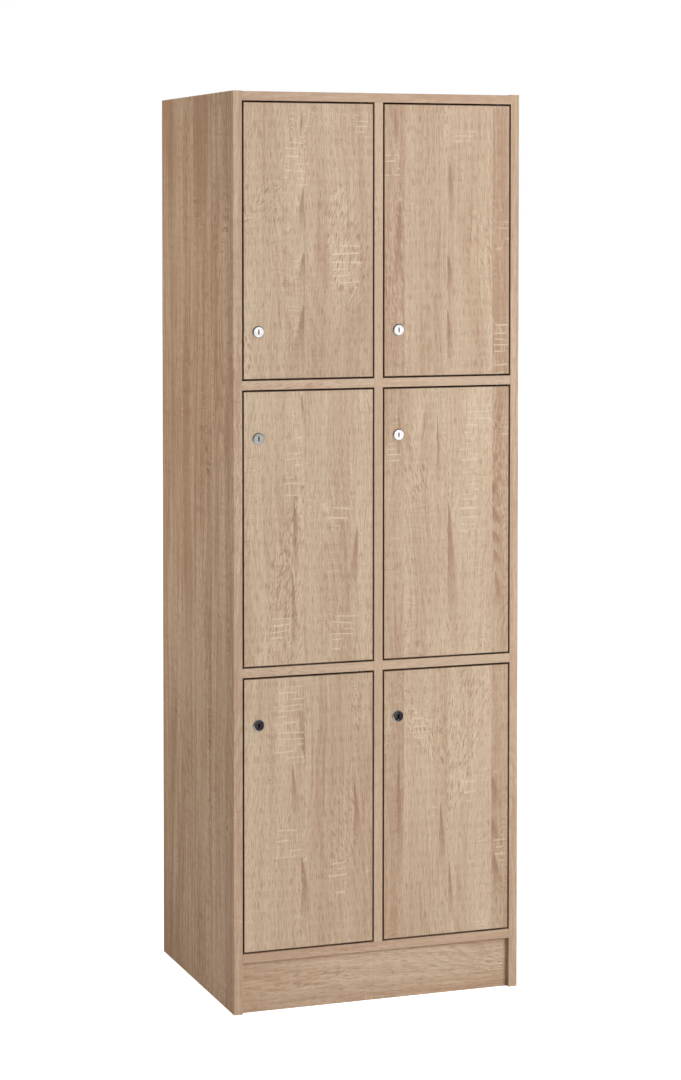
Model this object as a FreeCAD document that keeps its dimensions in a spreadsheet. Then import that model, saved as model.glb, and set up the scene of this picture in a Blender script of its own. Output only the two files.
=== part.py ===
"""Wooden locker: two columns of three compartments, each with an inset door on
pivot hinges and a coin-return lock.  Millimetres, +Z up, front facing -Y,
origin on the floor under the middle of the bounding box."""

import FreeCAD, Part
import operator
import os
from types import SimpleNamespace

import Sketcher

doc = FreeCAD.newDocument("locker")

# ---------------------------------------------------------------- dimensions
DIMENSIONS = [
    ("height", 1900, "floor to the top of the side panels"),
    ("width", 634, "over the side panels"),
    ("depth", 515, "front face to back face"),
    ("board", 19, "thickness of every carcass board and door"),
    ("edging", 1, "thickness of the edge strips"),
    ("edge_round", 0.7, "rounding of the strips' long edges"),
    ("side_gap", 3, "gap left and right of a door"),
    ("end_gap", 3, "gap above and below a door"),
    ("top_step", 1, "side panels stand this much above the top panel"),
    ("plinth_height", 106, "floor to the underside of the bottom panel"),
    ("plinth_recess", 10, "plinth board behind the front face"),
    ("back_board", 8, "thickness of the back panel"),
    ("back_rebate", 10, "width of the rebate that takes the back panel"),
    ("wall_hole_radius", 3.5, "wall-fixing holes in the back panel"),
    ("wall_hole_drop", 80, "wall-fixing holes below the top of the sides"),
    ("dowel_radius", 4, "wood dowels"),
    ("dowel_in_side", 12, "dowel depth in the face of a board"),
    ("dowel_in_end", 20, "dowel depth in the end of a board"),
    ("dowel_margin", 45, "first dowel behind the front face"),
    ("dowel_pitch", 190, "dowel to dowel"),
    ("plinth_dowel_pitch", 230, "dowel to dowel along the plinth board"),
    ("fit_play", 0.05, "play between a fixed piece and its seat"),
    ("pivot_inset", 25, "hinge pivot from the door's hinge edge"),
    ("pivot_setback", 9.5, "hinge pivot behind the front face"),
    ("pin_radius", 3, "hinge pin"),
    ("pin_depth", 5, "hinge pin past each leaf, into the wood"),
    ("pin_end_room", 1, "past the pin's end, in the door"),
    ("pin_side_room", 0.3, "round the pin, in the door's wood"),
    ("leaf_length", 60, "hinge leaf"),
    ("leaf_width", 12, "hinge leaf"),
    ("leaf_thickness", 2.5, "hinge leaf"),
    ("leaf_nose", 12, "hinge leaf past the pivot, towards the edge"),
    ("first_screw", 16, "pivot to a leaf's first screw"),
    ("second_screw", 38, "pivot to a leaf's second screw"),
    ("washer_radius", 5.5, "nylon washer between two leaves"),
    ("washer_play", 0.1, "washer to the moving leaf"),
    ("screw_radius", 1.6, "screw shank"),
    ("screw_head", 3.3, "countersunk head radius"),
    ("head_height", 1.7, "countersunk head"),
    ("screw_length", 8.5, "head to tip"),
    ("case_screw_length", 36, "head to tip, screws that hold the lock case"),
    ("lock_inset", 32, "lock axis from the door's free edge"),
    ("lock_offset", 97, "lock axis from the door's nearest end"),
    ("collar_radius", 12.5, "lock collar on the door's face"),
    ("collar_proud", 3, "collar in front of the door"),
    ("collar_flat", 10.2, "radius of the collar's flat front"),
    ("collar_rim", 1.1, "height of the collar's straight rim"),
    ("collar_bevel", 0.5, "bevel at the top of the collar's rim"),
    ("barrel_radius", 9.3, "lock barrel through the door"),
    ("barrel_length", 26, "lock barrel behind the front face"),
    ("plug_radius", 7.5, "key plug"),
    ("plug_sink", 0.25, "plug face behind the collar face"),
    ("plug_bevel", 0.3, "bevel round the plug's face"),
    ("key_width", 2.8, "key slot"),
    ("key_height", 10, "key slot"),
    ("key_depth", 14, "key slot"),
    ("cam_radius", 12, "cam disc on the plug's tail"),
    ("cam_thickness", 3, "cam disc"),
    ("cam_gap", 0.4, "barrel to cam disc, and cam disc to bolt"),
    ("throw", 12, "bolt travel"),
    ("cam_pin_radius", 2, "cam pin in the bolt's slot"),
    ("cam_pin_length", 6, "cam pin"),
    ("slot_play", 0.6, "cam pin to the side of the bolt's slot"),
    ("tongue_height", 18, "bolt tongue"),
    ("tongue_thickness", 8, "bolt tongue"),
    ("tail_height", 30, "bolt tail plate"),
    ("tail_thickness", 5, "bolt tail plate"),
    ("tail_reach", 12, "bolt tail plate past the lock axis"),
    ("case_left", 30, "lock axis to the case's bolt side"),
    ("case_right", 48, "lock axis to the case's coin side"),
    ("case_above", 58, "lock axis to the case's top"),
    ("case_below", 62, "lock axis to the case's bottom"),
    ("case_depth", 24.5, "case behind the door, without its cover"),
    ("case_wall", 2, "case wall"),
    ("bolt_window_play", 0.2, "bolt to the case's window"),
    ("cover_thickness", 2.5, "case cover"),
    ("case_round", 4, "rounding of the case's corners"),
    ("coin_width", 28, "coin slot, along the door"),
    ("coin_side_play", 0.5, "coin slot to the case's wall"),
    ("coin_slot", 3.4, "coin slot, across the coin"),
    ("coin_slot_back", 1.3, "coin slot to the cover"),
    ("coin_rib", 1.4, "thickness of the rib that guides the coin"),
    ("coin_rib_play", 1, "coin slot to the rib"),
    ("cup_height", 26, "coin return cup"),
    ("cup_depth", 17, "coin return cup, in front of the cover"),
    ("cup_low", 57, "underside of the cup below the lock axis"),
    ("cup_wall", 2, "cup wall"),
    ("cup_slope", 9, "height of the cup's sloping front"),
    ("boss_radius", 4, "screw bosses in the case"),
    ("boss_inset", 7, "boss from the case's sides"),
    ("overlap", 1, "how far joined shapes run into each other"),
    ("strike_thickness", 1.5, "strike plate"),
    ("strike_height", 62, "strike plate"),
    ("strike_width", 20, "strike plate"),
    ("strike_screw", 8, "strike plate's screw from the plate's end"),
    ("strike_play", 0.9, "bolt to the strike's hole"),
    ("pocket_depth", 11, "bolt pocket in the board"),
    ("stop_reach", 6, "door stop out of the board"),
    ("stop_depth", 12, "door stop, front to back"),
    ("stop_height", 30, "door stop"),
    ("stop_offset", 150, "door stop's centre from the lock axis"),
    ("stop_play", 0.3, "door to door stop"),
]

sheet = doc.addObject("Spreadsheet::Sheet", "dims")
for line, (alias, value, note) in enumerate(DIMENSIONS, 1):
    sheet.set(f"A{line}", note)
    sheet.set(f"B{line}", str(value))
    sheet.setAlias(f"B{line}", alias)
doc.recompute()


# -------------------------------------------------------------- sums of cells
class Amount:
    """A number together with the formula that gives it from the sheet."""

    def __init__(self, value, text=None):
        self.value = value
        self.text = str(value) if text is None else text

    def __add__(self, other):
        return combined("+", self, other)

    def __radd__(self, other):
        return combined("+", other, self)

    def __sub__(self, other):
        return combined("-", self, other)

    def __rsub__(self, other):
        return combined("-", other, self)

    def __mul__(self, other):
        return combined("*", self, other)

    def __rmul__(self, other):
        return combined("*", other, self)

    def __truediv__(self, other):
        return combined("/", self, other)

    def __neg__(self):
        return combined("-", 0, self)


SIGNS = {
    "+": operator.add,
    "-": operator.sub,
    "*": operator.mul,
    "/": operator.truediv,
}


def amount(thing):
    return thing if isinstance(thing, Amount) else Amount(thing)


def combined(sign, left, right):
    left, right = amount(left), amount(right)
    value = SIGNS[sign](left.value, right.value)
    return Amount(value, f"({left.text} {sign} {right.text})")


d = SimpleNamespace(
    **{alias: Amount(value, f"dims.{alias}") for alias, value, _ in DIMENSIONS}
)

# Places that several pieces share.
FRONT = (d.collar_proud - d.depth) / 2
BACK = (d.collar_proud + d.depth) / 2
CLEAR_X = (d.width - 3 * d.board) / 2
CLEAR_Z = (d.height - d.top_step - d.plinth_height - 4 * d.board) / 3
BAY_DEPTH = d.depth - d.back_board
LEFT, RIGHT = -d.width / 2, d.width / 2
TOP_PANEL_Z = d.height - d.top_step - d.board
BOTTOM_PANEL_Z = d.plinth_height
COLUMNS = {"left": LEFT + d.board, "right": d.board / 2}
ROWS = {"bottom": 0, "middle": 1, "top": 2}


def row_floor(row):
    """Height of the floor of a row of compartments."""
    return d.plinth_height + d.board + ROWS[row] * (CLEAR_Z + d.board)


def shelf_floor(row):
    """Height of the underside of the shelf above a row."""
    return row_floor(row) + CLEAR_Z


CLOSE = 1e-6  # two lengths nearer than this are the same


# ------------------------------------------------------------------- helpers
def bind(thing, **sizes):
    for name, size in sizes.items():
        thing.setExpression(name, amount(size).text)
    return thing


def place(thing, x, y, z):
    for axis, where in zip("xyz", (x, y, z)):
        thing.setExpression(f"Placement.Base.{axis}", amount(where).text)
    return thing


def box(name, x, y, z, length, width, height):
    made = doc.addObject("Part::Box", name)
    bind(made, Length=length, Width=width, Height=height)
    return place(made, x, y, z)


TURNS = {
    "+z": FreeCAD.Rotation(),
    "-z": FreeCAD.Rotation(FreeCAD.Vector(1, 0, 0), 180),
    "+x": FreeCAD.Rotation(FreeCAD.Vector(0, 1, 0), 90),
    "-x": FreeCAD.Rotation(FreeCAD.Vector(0, 1, 0), -90),
    "+y": FreeCAD.Rotation(FreeCAD.Vector(1, 0, 0), -90),
    "-y": FreeCAD.Rotation(FreeCAD.Vector(1, 0, 0), 90),
}


def rod(name, x, y, z, radius, length, along="+z"):
    made = doc.addObject("Part::Cylinder", name)
    made.Placement = FreeCAD.Placement(FreeCAD.Vector(), TURNS[along])
    bind(made, Radius=radius, Height=length)
    return place(made, x, y, z)


def cone(name, x, y, z, near, far, length, along="+z"):
    made = doc.addObject("Part::Cone", name)
    made.Placement = FreeCAD.Placement(FreeCAD.Vector(), TURNS[along])
    bind(made, Radius1=near, Radius2=far, Height=length)
    return place(made, x, y, z)


def fuse(name, shapes):
    made = doc.addObject("Part::MultiFuse", name)
    made.Shapes = list(shapes)
    return made


def cut(name, base, tools):
    tools = list(tools)
    if not tools:
        return base
    made = doc.addObject("Part::Cut", name)
    made.Base = base
    made.Tool = tools[0] if len(tools) == 1 else fuse(name + "_tools", tools)
    return made


def common(name, base, tool):
    made = doc.addObject("Part::Common", name)
    made.Base, made.Tool = base, tool
    return made


def group(name, shapes):
    made = doc.addObject("Part::Compound", name)
    made.Links = list(shapes)
    return made


def rounded(name, base, wanted):
    """base with its edges for which wanted(edge) is true rounded."""
    doc.recompute()
    made = doc.addObject("Part::Fillet", name)
    made.Base = base
    size = d.edge_round.value
    made.Edges = [
        (i, size, size) for i, e in enumerate(base.Shape.Edges, 1) if wanted(e)
    ]
    return made


sub_parts = []


def sub_part(label, thing):
    """Marks thing as a sub-part, written to parts/label.step."""
    thing.Label = label
    sub_parts.append(thing)
    return thing


# ----------------------------------------------------- fasteners and fittings
def screw_solid(name, at, along, play=0, length=d.screw_length):
    """Countersunk screw, or with play the hole that it needs."""
    wide, thin = d.screw_head + play, d.screw_radius + play
    head = cone(name + "_head", *at, wide, thin, d.head_height, along)
    shank = rod(name + "_shank", *at, thin, length, along)
    return fuse(name, [head, shank])


def screw_and_hole(name, at, along, length=d.screw_length):
    screw = screw_solid(name, at, along, 0, length)
    return screw, screw_solid(name + "_hole", at, along, d.fit_play, length)


def dowel_and_holes(name, boards, at, length, along):
    """One dowel, with a hole for it in each of the boards."""
    dowels.append(rod(name, *at, d.dowel_radius, length, along))
    for board_name in boards:
        hole = f"{name}_in_{board_name}"
        tool = rod(hole, *at, d.dowel_radius + d.fit_play, length, along)
        holes.add(board_name, tool)


class Holes:
    """Tools that cut each board, filled in by the fittings that go into it."""

    def __init__(self):
        self.of = {}

    def add(self, board_name, *tools):
        self.of.setdefault(board_name, []).extend(tools)


holes = Holes()
dowels, frame_screws, frame_leaves, pins, washers, strikes, stops = ([] for _ in range(7))


def dowel_row(name, boards, x, z, length, along):
    """Three dowels, one behind another."""
    for i in range(3):
        y = FRONT + d.dowel_margin + i * d.dowel_pitch
        dowel_and_holes(f"{name}_{i}", boards, (x, y, z), length, along)


def end_dowels(name, board_name, sides, floor):
    """Rows of dowels from the sides of the carcass into a board's two ends."""
    length = d.dowel_in_side + d.dowel_in_end
    middle = floor + d.board / 2
    starts = {
        "left_side_panel": (LEFT + d.board - d.dowel_in_side, "+x"),
        "right_side_panel": (RIGHT - d.board + d.dowel_in_side, "-x"),
    }
    for side in sides:
        x, along = starts[side]
        dowel_row(f"{name}_{along}", (side, board_name), x, middle, length, along)


def dowel_joints():
    """Dowels between the sides, the partition and every board that meets them."""
    both = ("left_side_panel", "right_side_panel")
    end_dowels("top", "top_panel", both, TOP_PANEL_Z)
    end_dowels("bottom", "bottom_panel", both, BOTTOM_PANEL_Z)
    for level, row in (("lower", "bottom"), ("upper", "middle")):
        floor = shelf_floor(row)
        left_shelf, right_shelf = f"shelf_{level}_left", f"shelf_{level}_right"
        end_dowels(level, left_shelf, both[:1], floor)
        end_dowels(level, right_shelf, both[1:], floor)
        dowel_row(
            f"{level}_middle",
            ("centre_partition", left_shelf, right_shelf),
            -d.board / 2 - d.dowel_in_end,
            floor + d.board / 2,
            d.board + 2 * d.dowel_in_end,
            "+x",
        )
    length = d.dowel_in_side + d.dowel_in_end
    start = TOP_PANEL_Z - d.dowel_in_end
    dowel_row("partition_top", ("centre_partition", "top_panel"), 0, start, length, "+z")
    start = BOTTOM_PANEL_Z + d.board - d.dowel_in_side
    boards = ("centre_partition", "bottom_panel")
    dowel_row("partition_bottom", boards, 0, start, length, "+z")
    for i in (-1, 0, 1):
        at = (
            i * d.plinth_dowel_pitch,
            FRONT + d.plinth_recess + d.board / 2,
            BOTTOM_PANEL_Z - d.dowel_in_end,
        )
        boards = ("plinth_board", "bottom_panel")
        dowel_and_holes(f"plinth_{i + 1}", boards, at, length, "+z")


# --------------------------------------------------------------------- boards
def edged_board(name, x, y, z, length, width, height):
    """Board with an edge strip along its front, as two solids in one piece."""
    raw = box(name + "_raw", x, y, z, length, width, height)
    front = amount(y).value
    long_side = max(amount(length).value, amount(height).value)

    def front_edge(edge):
        flat = all(abs(v.Y - front) < CLOSE for v in edge.Vertexes)
        return flat and abs(edge.Length - long_side) < CLOSE

    whole = rounded(name + "_rounded", raw, front_edge)
    strip_zone = box(name + "_strip_zone", x, y, z, length, d.edging, height)
    core = cut(name + "_core", whole, [strip_zone, *holes.of.get(name, [])])
    strip = common(name + "_strip", whole, strip_zone)
    return sub_part(name, group(name, [core, strip]))


def rebate(board_name, x):
    """Rebate for the back panel, down the whole of a side."""
    size = (d.back_rebate, d.back_board, d.height)
    holes.add(board_name, box(board_name + "_rebate", x, BACK - d.back_board, 0, *size))


def carcass():
    rebate("left_side_panel", LEFT + d.board - d.back_rebate)
    rebate("right_side_panel", RIGHT - d.board)
    side = (d.board, d.depth, d.height)
    edged_board("left_side_panel", LEFT, FRONT, 0, *side)
    edged_board("right_side_panel", RIGHT - d.board, FRONT, 0, *side)
    inside = d.width - 2 * d.board
    for name, floor in (("top_panel", TOP_PANEL_Z), ("bottom_panel", BOTTOM_PANEL_Z)):
        edged_board(name, LEFT + d.board, FRONT, floor, inside, BAY_DEPTH, d.board)
    floor = BOTTOM_PANEL_Z + d.board
    upright = (d.board, BAY_DEPTH, TOP_PANEL_Z - floor)
    edged_board("centre_partition", -d.board / 2, FRONT, floor, *upright)
    for level, row in (("lower", "bottom"), ("upper", "middle")):
        for side, x in COLUMNS.items():
            size = (CLEAR_X, BAY_DEPTH, d.board)
            edged_board(f"shelf_{level}_{side}", x, FRONT, shelf_floor(row), *size)
    y = FRONT + d.plinth_recess
    edged_board("plinth_board", LEFT + d.board, y, 0, inside, d.board, d.plinth_height)
    back_panel()


def back_panel():
    """Thin back in the sides' rebates, with two holes for fixing to a wall."""
    x, y = LEFT + d.board - d.back_rebate, BACK - d.back_board
    size = (d.width - 2 * (d.board - d.back_rebate), d.back_board, d.height - d.top_step)
    whole = box("back_sheet", x, y, 0, *size)
    tools = []
    for side, column in COLUMNS.items():
        at = (column + CLEAR_X / 2, y, d.height - d.wall_hole_drop)
        tools.append(rod(f"wall_hole_{side}", *at, d.wall_hole_radius, d.back_board, "+y"))
    sub_part("back_panel", cut("back_panel", whole, tools))


# --------------------------------------------------------------------- hinges
def hinge_leaf(name, px, py, z, screw_holes):
    """Flat leaf from z upwards, with a pin hole and two countersunk holes."""
    x, y = px + d.leaf_nose - d.leaf_length, py - d.leaf_width / 2
    size = (d.leaf_length, d.leaf_width, d.leaf_thickness)
    plate = box(name + "_plate", x, y, z, *size)
    eye = rod(name + "_eye", px, py, z, d.pin_radius + d.fit_play, d.leaf_thickness)
    return cut(name, plate, [eye, *screw_holes])


def leaf_seat(name, px, py, z):
    """The recess that a leaf lies in."""
    x = px + d.leaf_nose - d.leaf_length - d.fit_play
    y = py - d.leaf_width / 2 - d.fit_play
    size = (
        d.leaf_length + 2 * d.fit_play,
        d.leaf_width + 2 * d.fit_play,
        d.leaf_thickness,
    )
    return box(name, x, y, z, *size)


def leaf_screws(name, px, py, z, along):
    """Two screws through a leaf, and their holes, entering at height z."""
    distances = (d.first_screw, d.second_screw)
    pairs = [
        screw_and_hole(f"{name}_screw_{i}", (px - away, py, z), along)
        for i, away in enumerate(distances)
    ]
    return [screw for screw, _ in pairs], [hole for _, hole in pairs]


def frame_hinge(place_name, end, px, py, board_name, face):
    """Leaf, pin and washer in the board above or below a door.

    face is the height of the board's face; end is 1 above the door, else -1."""
    name = f"{place_name}_frame_{'top' if end > 0 else 'bottom'}"
    into, away = ("+z", "-z") if end > 0 else ("-z", "+z")
    leaf_z = face if end > 0 else face - d.leaf_thickness
    screws, screw_holes = leaf_screws(name, px, py, face, into)
    frame_screws.extend(screws)
    frame_leaves.append(hinge_leaf(name + "_leaf", px, py, leaf_z, screw_holes))

    sunk = d.leaf_thickness + d.pin_depth
    start = face + end * sunk
    length = 2 * sunk + d.end_gap
    pins.append(rod(name + "_pin", px, py, start, d.pin_radius, length, away))
    eye_radius = d.pin_radius + d.fit_play
    bore = rod(name + "_pin_bore", px, py, start, eye_radius, sunk, away)

    thickness = d.end_gap - d.washer_play
    ring = rod(name + "_ring", px, py, face, d.washer_radius, thickness, away)
    eye = rod(name + "_ring_eye", px, py, face, eye_radius, thickness, away)
    washers.append(cut(name + "_washer", ring, [eye]))
    holes.add(board_name, leaf_seat(name + "_seat", px, py, leaf_z), bore, *screw_holes)


def door_hinges(place_name, px, py, low, high):
    """The leaves and screws let into a door's two ends, and the holes for them."""
    solids, tools = [], []
    for end, face in ((-1, low), (1, high)):
        name = f"{place_name}_door_{'top' if end > 0 else 'bottom'}"
        into = "-z" if end > 0 else "+z"
        leaf_z = face - d.leaf_thickness if end > 0 else face
        screws, screw_holes = leaf_screws(name, px, py, face, into)
        solids += [hinge_leaf(name + "_leaf", px, py, leaf_z, screw_holes), *screws]
        depth = d.leaf_thickness + d.pin_depth + d.pin_end_room
        radius = d.pin_radius + d.pin_side_room
        bore = rod(name + "_pin_bore", px, py, face, radius, depth, into)
        tools += [leaf_seat(name + "_seat", px, py, leaf_z), bore, *screw_holes]
    return solids, tools


# ----------------------------------------------------------------- the locks
def new_body(name, x, y, z):
    body = doc.addObject("PartDesign::Body", name)
    return place(body, x, y, z)


def plane(body, role):
    return next(f for f in body.Origin.OriginFeatures if f.Role == role)


def sketch(body, name, role, offset=0):
    made = body.newObject("Sketcher::SketchObject", name)
    made.AttachmentSupport = (plane(body, role), [""])
    made.MapMode = "FlatFace"
    return bind(made, **{"AttachmentOffset.Base.z": offset})


def fix_point(target, geometry, point, x, y):
    """Holds one point of a sketch at two distances from the sketch's origin."""
    for kind, where in (("DistanceX", x), ("DistanceY", y)):
        where = amount(where)
        rule = Sketcher.Constraint(kind, -1, 1, geometry, point, where.value)
        bind(target, **{f"Constraints[{target.addConstraint(rule)}]": where})


def polygon(target, points):
    """Closed outline through points, each a pair of distances."""
    at = [FreeCAD.Vector(amount(x).value, amount(y).value, 0) for x, y in points]
    first = target.GeometryCount
    for i, start in enumerate(at):
        target.addGeometry(Part.LineSegment(start, at[(i + 1) % len(at)]), False)
    for i, (x, y) in enumerate(points):
        line = first + i
        before = first + (i - 1) % len(points)
        target.addConstraint(Sketcher.Constraint("Coincident", before, 2, line, 1))
        fix_point(target, line, 1, x, y)


def rectangle(target, left, low, right, high):
    polygon(target, [(left, low), (right, low), (right, high), (left, high)])


def circle(target, x, y, radius):
    centre = FreeCAD.Vector(amount(x).value, amount(y).value, 0)
    outline = Part.Circle(centre, FreeCAD.Vector(0, 0, 1), radius.value)
    made = target.addGeometry(outline, False)
    fix_point(target, made, 3, x, y)
    rule = Sketcher.Constraint("Radius", made, radius.value)
    bind(target, **{f"Constraints[{target.addConstraint(rule)}]": radius})


def pad(body, name, profile, length, backwards=False):
    made = body.newObject("PartDesign::Pad", name)
    made.Profile = profile
    made.Reversed = backwards
    return bind(made, Length=length)


def pocket(body, name, profile, length, backwards=False):
    made = body.newObject("PartDesign::Pocket", name)
    made.Profile = profile
    made.Reversed = backwards
    return bind(made, Length=length)


def turned(body, name, points):
    """Solid of revolution about the body's Y axis; points are (radius, y)."""
    profile = sketch(body, name + "_profile", "XY_Plane")
    polygon(profile, points)
    made = body.newObject("PartDesign::Revolution", name)
    made.Profile = profile
    made.ReferenceAxis = (profile, ["V_Axis"])
    made.Angle = 360
    return made


def lock_cylinder(name, x, z):
    """Collar on the door's face and barrel through the door, round the plug."""
    body = new_body(name, x, FRONT, z)
    turned(
        body,
        name + "_turning",
        [
            (d.plug_radius + d.fit_play, -d.collar_proud),
            (d.collar_flat, -d.collar_proud),
            (d.collar_radius - d.collar_bevel, -d.collar_rim - d.collar_bevel),
            (d.collar_radius, -d.collar_rim),
            (d.collar_radius, 0),
            (d.barrel_radius, 0),
            (d.barrel_radius, d.barrel_length),
            (d.plug_radius + d.fit_play, d.barrel_length),
        ],
    )
    return sub_part(name, body)


CAM_START = d.barrel_length + d.cam_gap
CAM_END = CAM_START + d.cam_thickness
BOLT_START = CAM_END + d.cam_gap
SIN_45 = 0.7072  # rounded up


def key_plug(name, x, z):
    """Turning plug with its key slot, cam disc and off-centre cam pin."""
    body = new_body(name, x, FRONT, z)
    face_y = d.plug_sink - d.collar_proud
    turned(
        body,
        name + "_turning",
        [
            (0, face_y),
            (d.plug_radius - d.plug_bevel, face_y),
            (d.plug_radius, face_y + d.plug_bevel),
            (d.plug_radius, CAM_START),
            (d.cam_radius, CAM_START),
            (d.cam_radius, CAM_END),
            (0, CAM_END),
        ],
    )
    pin = sketch(body, name + "_pin_face", "XZ_Plane", -CAM_END)
    circle(pin, d.throw / 2, -d.throw / 2, d.cam_pin_radius)
    pad(body, name + "_pin", pin, d.cam_pin_length, backwards=True)
    slot = sketch(body, name + "_key_face", "XZ_Plane", d.collar_proud)
    half_x, half_z = d.key_width / 2, d.key_height / 2
    rectangle(slot, -half_x, -half_z, half_x, half_z)
    pocket(body, name + "_key_slot", slot, d.key_depth)
    return sub_part(name, body)


def lock_bolt(name, x, z):
    """Bolt tongue with a tail plate whose upright slot the cam pin works in."""
    body = new_body(name, x, FRONT, z)
    tongue = sketch(body, name + "_tongue_face", "XZ_Plane", -BOLT_START)
    half = d.tongue_height / 2
    rectangle(tongue, -d.case_left, -half, -d.cam_radius, half)
    pad(body, name + "_tongue", tongue, d.tongue_thickness, backwards=True)
    tail = sketch(body, name + "_tail_face", "XZ_Plane", -BOLT_START)
    half = d.tail_height / 2
    rectangle(tail, -d.cam_radius - d.overlap, -half, d.tail_reach, half)
    pad(body, name + "_tail", tail, d.tail_thickness, backwards=True)
    slot = sketch(body, name + "_slot_face", "XZ_Plane", -BOLT_START)
    half = d.cam_pin_radius + d.slot_play
    middle, lowest = d.throw / 2, -d.throw * SIN_45
    rectangle(slot, middle - half, lowest - half, middle + half, half - middle)
    pocket(body, name + "_slot", slot, d.tail_thickness)
    return sub_part(name, body)


BOSSES = [
    (d.boss_inset - d.case_left, d.case_above - d.boss_inset),
    (d.boss_inset - d.case_left, d.boss_inset - d.case_below),
    (0, d.case_above - d.boss_inset),
    (0, d.boss_inset - d.case_below),
]


def upright_edges(solid):
    """Names of the edges that run straight from front to back at the corners."""
    found = []
    for i, edge in enumerate(solid.Shape.Edges, 1):
        a, b = (v.Point for v in (edge.Vertexes[0], edge.Vertexes[-1]))
        straight = abs(a.x - b.x) < CLOSE and abs(a.z - b.z) < CLOSE
        if straight and len(edge.Vertexes) == 2 and "Line" in str(edge.Curve):
            found.append(f"Edge{i}")
    return found


def lock_case(name, x, z, screws, screw_holes):
    """Moulded box on the door's inner face, open towards its cover, and its screws."""
    body = new_body(name + "_moulding", x, FRONT, z)
    outline = sketch(body, name + "_outline", "XZ_Plane", -d.board)
    rectangle(outline, -d.case_left, -d.case_below, d.case_right, d.case_above)
    block = pad(body, name + "_block", outline, d.case_depth, backwards=True)
    doc.recompute()
    corners = body.newObject("PartDesign::Fillet", name + "_corners")
    corners.Base = (block, upright_edges(block))
    bind(corners, Radius=d.case_round)
    inner = sketch(body, name + "_inner", "XZ_Plane", -d.board - d.case_wall)
    rectangle(
        inner,
        d.case_wall - d.case_left,
        d.case_wall - d.case_below,
        d.case_right - d.case_wall,
        d.case_above - d.case_wall,
    )
    pocket(body, name + "_hollow", inner, d.case_depth)
    root, height = d.board + d.overlap, d.case_depth - d.overlap
    for i, (bx, bz) in enumerate(BOSSES):
        stud = sketch(body, f"{name}_boss_face_{i}", "XZ_Plane", -root)
        circle(stud, bx, bz, d.boss_radius)
        pad(body, f"{name}_boss_{i}", stud, height, backwards=True)
    rib = sketch(body, name + "_rib_face", "XZ_Plane", -root)
    rib_right = d.case_right - d.case_wall - d.coin_width - d.coin_rib_play
    rib_low, rib_high = -d.case_below / 2, d.case_above - d.overlap
    rectangle(rib, rib_right - d.coin_rib, rib_low, rib_right, rib_high)
    pad(body, name + "_coin_rib", rib, height, backwards=True)
    seat = sketch(body, name + "_barrel_face", "XZ_Plane", -d.board)
    circle(seat, 0, 0, d.barrel_radius + d.fit_play)
    pocket(body, name + "_barrel_hole", seat, d.case_wall)
    window = sketch(body, name + "_bolt_face", "YZ_Plane", -d.case_left)
    near, far = BOLT_START - d.bolt_window_play, BOLT_START + d.tongue_thickness
    half = d.tongue_height / 2 + d.bolt_window_play
    rectangle(window, near, -half, far + d.bolt_window_play, half)
    pocket(body, name + "_bolt_window", window, d.case_wall, backwards=True)
    mouth = sketch(body, name + "_coin_face", "XY_Plane", d.case_above)
    slot_back = d.board + d.case_depth - d.coin_slot_back
    slot_right = d.case_right - d.case_wall - d.coin_side_play
    rectangle(
        mouth, slot_right - d.coin_width, slot_back - d.coin_slot, slot_right, slot_back
    )
    pocket(body, name + "_coin_slot", mouth, d.case_wall)
    drilled = cut(name + "_drilled", body, screw_holes)
    return sub_part(name, group(name, [drilled, *screws]))


def lock_cover(name, x, z, screw_holes):
    """Cover of the case, with the coin return cup moulded on its face."""
    body = new_body(name + "_moulding", x, FRONT, z)
    back = d.board + d.case_depth
    face = back + d.cover_thickness
    cup_left = d.case_right - d.case_wall - d.coin_width - 2 * d.cup_wall
    outline = sketch(body, name + "_outline", "XZ_Plane", -back)
    rectangle(outline, -d.case_left, -d.case_below, d.case_right, d.case_above)
    plate = pad(body, name + "_plate", outline, d.cover_thickness, backwards=True)
    doc.recompute()
    corners = body.newObject("PartDesign::Fillet", name + "_corners")
    corners.Base = (plate, upright_edges(plate))
    bind(corners, Radius=d.case_round)
    cup = sketch(body, name + "_cup_face", "YZ_Plane", cup_left)
    polygon(cup, cup_outline(back + d.overlap, face + d.cup_depth, 0))
    pad(body, name + "_cup", cup, d.case_right - cup_left)
    hollow = sketch(body, name + "_hollow_face", "YZ_Plane", cup_left + d.cup_wall)
    polygon(hollow, cup_outline(back - d.overlap, face + d.cup_depth, d.cup_wall))
    width = d.case_right - cup_left - 2 * d.cup_wall
    pocket(body, name + "_cup_hollow", hollow, width, backwards=True)
    return sub_part(name, cut(name + "_drilled", body, screw_holes))


def cup_outline(back, front, wall):
    """Side view of the coin return cup, or with a wall that of its hollow."""
    low, high = -d.cup_low + wall, d.cup_height - d.cup_low + wall
    return [
        (back, low),
        (front - wall - d.cup_slope / 2, low),
        (front - wall, low + d.cup_slope),
        (front - wall, high),
        (back, high),
    ]


def case_screws(name, x, z):
    """Screws through the cover and the case into the door, and their holes."""
    start = FRONT + d.board + d.case_depth + d.cover_thickness
    length = d.case_screw_length
    pairs = [
        screw_and_hole(f"{name}_case_screw_{i}", (x + bx, start, z + bz), "-y", length)
        for i, (bx, bz) in enumerate(BOSSES)
    ]
    return [screw for screw, _ in pairs], [hole for _, hole in pairs]


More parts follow.
